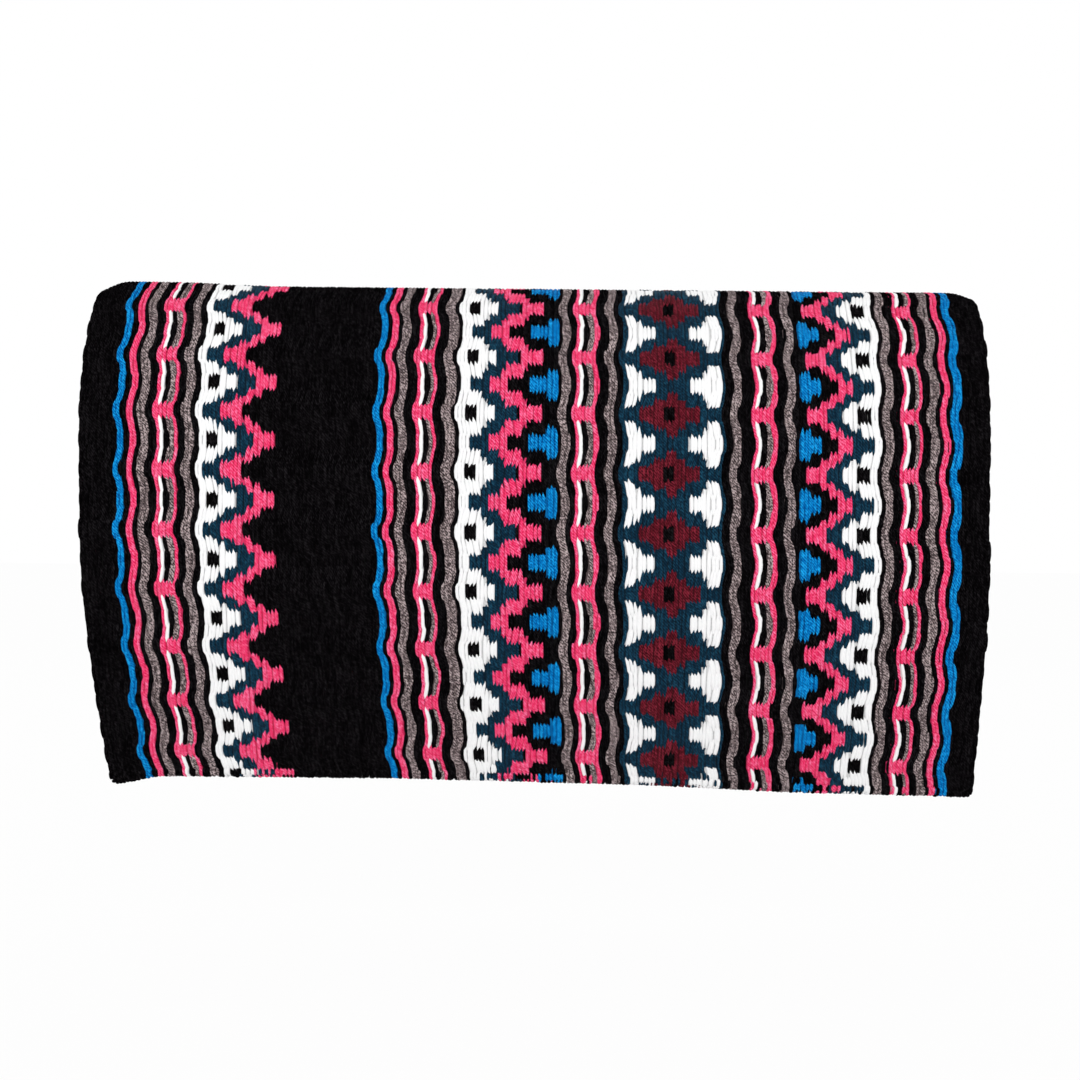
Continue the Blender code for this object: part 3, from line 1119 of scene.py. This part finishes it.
@dataclass
class GroundCloth:
    """The body of the cloth below its floats, as one closed sheet for each zone."""

    loom: Loom
    float_cover: float = 0.0019
    edge_inset: float = 0.0012
    wefts_per_cell: int = 2

    def build(self, zone: Zone, material: bpy.types.Material) -> bpy.types.Object:
        """Builds the sheet of one zone.

        Args:
            zone: The stretch of cloth.
            material: The ground cloth's finish.

        Returns:
            The sheet, with a dye stored on every face corner.
        """
        drape = self.loom.drape
        cells = self.loom.draft.wefts // self.wefts_per_cell
        half = drape.length / 2 - self.edge_inset
        columns = np.linspace(-half, half, cells + 1)
        rows = np.arange(zone.rows.start, zone.rows.stop + 1, dtype=float)
        beyond = np.where(rows == drape.hem_row, self.loom.hem_reach, 0.0)
        x, row = np.meshgrid(columns, rows)
        past = np.meshgrid(columns, beyond)[1]
        layers = [
            drape.place(x.ravel(), row.ravel(), depth, zone.side, past.ravel())
            for depth in (self.float_cover, drape.thickness - self.float_cover)
        ]
        grid = np.arange(x.size).reshape(x.shape)
        outer = np.stack([grid[:-1, :-1], grid[:-1, 1:], grid[1:, 1:], grid[1:, :-1]], axis=-1).reshape(-1, 4)
        inner = outer[:, ::-1] + x.size
        rim = np.concatenate([grid[0], grid[1:, -1], grid[-1, -2::-1], grid[-2:0:-1, 0]])
        following = np.roll(rim, -1)
        wall = np.stack([following, rim, rim + x.size, following + x.size], axis=-1)
        faces = np.concatenate([outer, inner, wall])
        if zone.side is Side.OFF:
            faces = faces[:, ::-1]
        mesh = new_mesh(zone.name, np.concatenate(layers), faces.tolist())
        self.dye(mesh, zone, len(wall))
        mesh.materials.append(material)
        return new_object(f"{zone.name}_ground_cloth", mesh)

    def dye(self, mesh: bpy.types.Mesh, zone: Zone, walls: int) -> None:
        """Stores each face's dye: the draft's yarn there, and black round the rim.

        Args:
            mesh: The sheet's mesh, its outer faces first, then its inner faces, then its rim.
            zone: The stretch of cloth.
            walls: How many faces the rim has.
        """
        yarns = self.loom.draft.cells(zone.rows, self.wefts_per_cell).ravel()
        palette = np.array([linear(wool.colour) for wool in WOOLS])
        black = np.full(walls, YARNS.index(BLACK))
        colours = palette[np.concatenate([yarns, yarns, black])]
        attribute = mesh.attributes.new("dye", "FLOAT_COLOR", "CORNER")
        attribute.data.foreach_set("color", np.repeat(colours, 4, axis=0).astype(np.float32).ravel())


@dataclass
class Blanket:
    """The whole blanket: two hanging flaps and the two halves of the bend between them."""

    loom: Loom
    inner_float: dict = field(default_factory=lambda: {"Sides": 4, "Rings": 3})
    black_float: dict = field(default_factory=lambda: {"Rings": 5})

    def zones(self) -> tuple[Zone, ...]:
        """Returns the four stretches of cloth, from the near hem to the off hem."""
        drape = self.loom.drape
        bend, flap = range(0, drape.bend_row), range(drape.bend_row, drape.hem_row)
        return (
            Zone("near_flap", Side.NEAR, flap, "near_flap"),
            Zone("near_bend", Side.NEAR, bend, "near_flap", "crest"),
            Zone("off_bend", Side.OFF, bend, "off_flap", "crest"),
            Zone("off_flap", Side.OFF, flap, "off_flap"),
        )

    def stood_for(self, zone: Zone) -> list[str]:
        """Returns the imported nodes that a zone's sheet stands for."""
        if zone.bends_from is None:
            return [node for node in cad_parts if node.startswith(zone.body)]
        if zone.side is Side.OFF:
            return []
        return [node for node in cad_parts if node.startswith(zone.bends_from)]

    def weave(self) -> None:
        """Builds and dresses every piece of the blanket."""
        tree = FloatTree("weft_floats")
        materials = {wool.yarn: wool.material() for wool in WOOLS}
        ground = GroundCloth(self.loom)
        ground_material = GroundFinish().material()
        drape = self.loom.drape
        for zone in self.zones():
            sheet = ground.build(zone, ground_material)
            zone.follow(sheet, drape)
            stood_for = self.stood_for(zone)
            if stood_for:
                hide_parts(*stood_for)
            for name, yarn, floats, values in self.batches(zone):
                piece = tree.weave(name, floats, materials[yarn], values)
                zone.follow(piece, drape)
                log.info("%s: %d floats, %d faces", name, len(floats.centre), len(piece.data.polygons))

    def batches(self, zone: Zone) -> list[tuple[str, Yarn, Floats, dict]]:
        """Lays out a zone's floats, face by face and yarn by yarn.

        Args:
            zone: The stretch of cloth.

        Returns:
            Each piece's name, yarn and floats, with the float tree's inputs that it changes.
        """
        outer = [self.loom.face(zone.side, zone.rows, inner=False), self.loom.edge(zone.side, zone.rows)]
        if zone.rows.stop == self.loom.drape.hem_row:
            outer.append(self.loom.hem(zone.side))
        faces = {
            "outer": (Floats.joined(outer), {}),
            "inner": (self.loom.face(zone.side, zone.rows, inner=True), self.inner_float),
        }
        found = []
        for face, (floats, values) in faces.items():
            for number, yarn in enumerate(YARNS):
                chosen = floats.only(floats.yarn == number)
                if len(chosen.centre):
                    counts = self.black_float if face == "outer" and yarn is BLACK else values
                    found.append((f"{zone.name}_{face}_{yarn.value}_wefts", yarn, chosen, counts))
        return found


@dataclass
class Studio:
    """The plain floor, the soft lamps and the camera."""

    floor_z: float = -0.62
    floor_span: float = 30.0
    floor_shade: float = 0.85
    floor_roughness: float = 0.9
    floor_white_share: float = 0.95
    camera_place: Triple = (0.0076, -1.216, -0.238)
    camera_roll_degrees: float = -0.56
    camera_lens: float = 39.7
    camera_sensor: float = 36.0
    sky_strength: float = 0.78
    key_place: Triple = (-1.1, -2.0, 0.35)
    fill_place: Triple = (1.5, -1.8, 0.25)
    back_place: Triple = (0.2, 1.9, 1.3)
    key_power: float = 13.6
    fill_power: float = 9.0
    lamp_size: float = 1.6

    def build(self) -> None:
        """Builds the floor, the world, the lamps and the camera."""
        self.add_floor()
        self.add_world()
        self.add_lamp("key_lamp", self.key_place, self.key_power)
        self.add_lamp("fill_lamp", self.fill_place, self.fill_power)
        self.add_lamp("back_lamp", self.back_place, self.fill_power)
        self.add_camera()

    def add_floor(self) -> None:
        """Adds a pale floor, white to the camera but for a soft shadow."""
        half = self.floor_span / 2
        corners = ((-half, -half), (half, -half), (half, half), (-half, half))
        mesh = new_mesh("floor", ((x, y, self.floor_z) for x, y in corners), [(0, 1, 2, 3)])
        floor = new_object("floor", mesh)
        made, tree, shader = new_material("pale_floor")
        shader.inputs["Base Color"].default_value = (*[self.floor_shade] * 3, 1.0)
        shader.inputs["Roughness"].default_value = self.floor_roughness
        white = tree.output("ShaderNodeEmission", inputs={"Color": FULL_LIGHT, "Strength": 1.0})
        inputs = {0: tree.seen() * self.floor_white_share, 1: shader.outputs[0], 2: white}
        mix = tree.output("ShaderNodeMixShader", inputs=inputs)
        tree.feed(made.node_tree.nodes["Material Output"].inputs["Surface"], mix)
        mesh.materials.append(made)

    def add_world(self) -> None:
        """Adds a plain sky that lights the cloth softly and is white to the camera."""
        world = bpy.data.worlds.new("studio")
        world.use_nodes = True
        bpy.context.scene.world = world
        tree = Tree(world.node_tree)
        background = world.node_tree.nodes["Background"]
        background.inputs["Color"].default_value = FULL_LIGHT
        tree.feed(background.inputs["Strength"], tree.seen() * (1 - self.sky_strength) + self.sky_strength)

    def add_lamp(self, name: str, place: Triple, power: float) -> None:
        """Adds a square lamp that faces the blanket.

        Args:
            name: The lamp's name.
            place: Where it stands.
            power: Its power in watts.
        """
        light = bpy.data.lights.new(name, "AREA")
        light.energy = power
        light.size = self.lamp_size
        lamp = new_object(name, light)
        lamp.location = place
        towards = Vector((0, 0, self.camera_place[2])) - Vector(place)
        lamp.rotation_euler = towards.to_track_quat("-Z", "Y").to_euler()

    def add_camera(self) -> None:
        """Adds the camera, level and square to the near flap, where the photograph was taken from."""
        data = bpy.data.cameras.new("camera")
        data.lens = self.camera_lens
        data.sensor_width = self.camera_sensor
        camera = new_object("camera", data)
        camera.location = self.camera_place
        camera.rotation_euler = Euler((math.radians(90), math.radians(self.camera_roll_degrees), 0), "XYZ")
        bpy.context.scene.camera = camera


def main() -> None:
    """Weaves the blanket and builds the studio."""
    logging.basicConfig(level=logging.INFO, format="%(name)s: %(message)s")
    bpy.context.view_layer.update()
    bpy.context.scene.view_settings.view_transform = "Standard"
    loom = Loom(Draft(BANDS), Drape())
    Blanket(loom).weave()
    Studio().build()


if __name__ == "__main__":
    main()
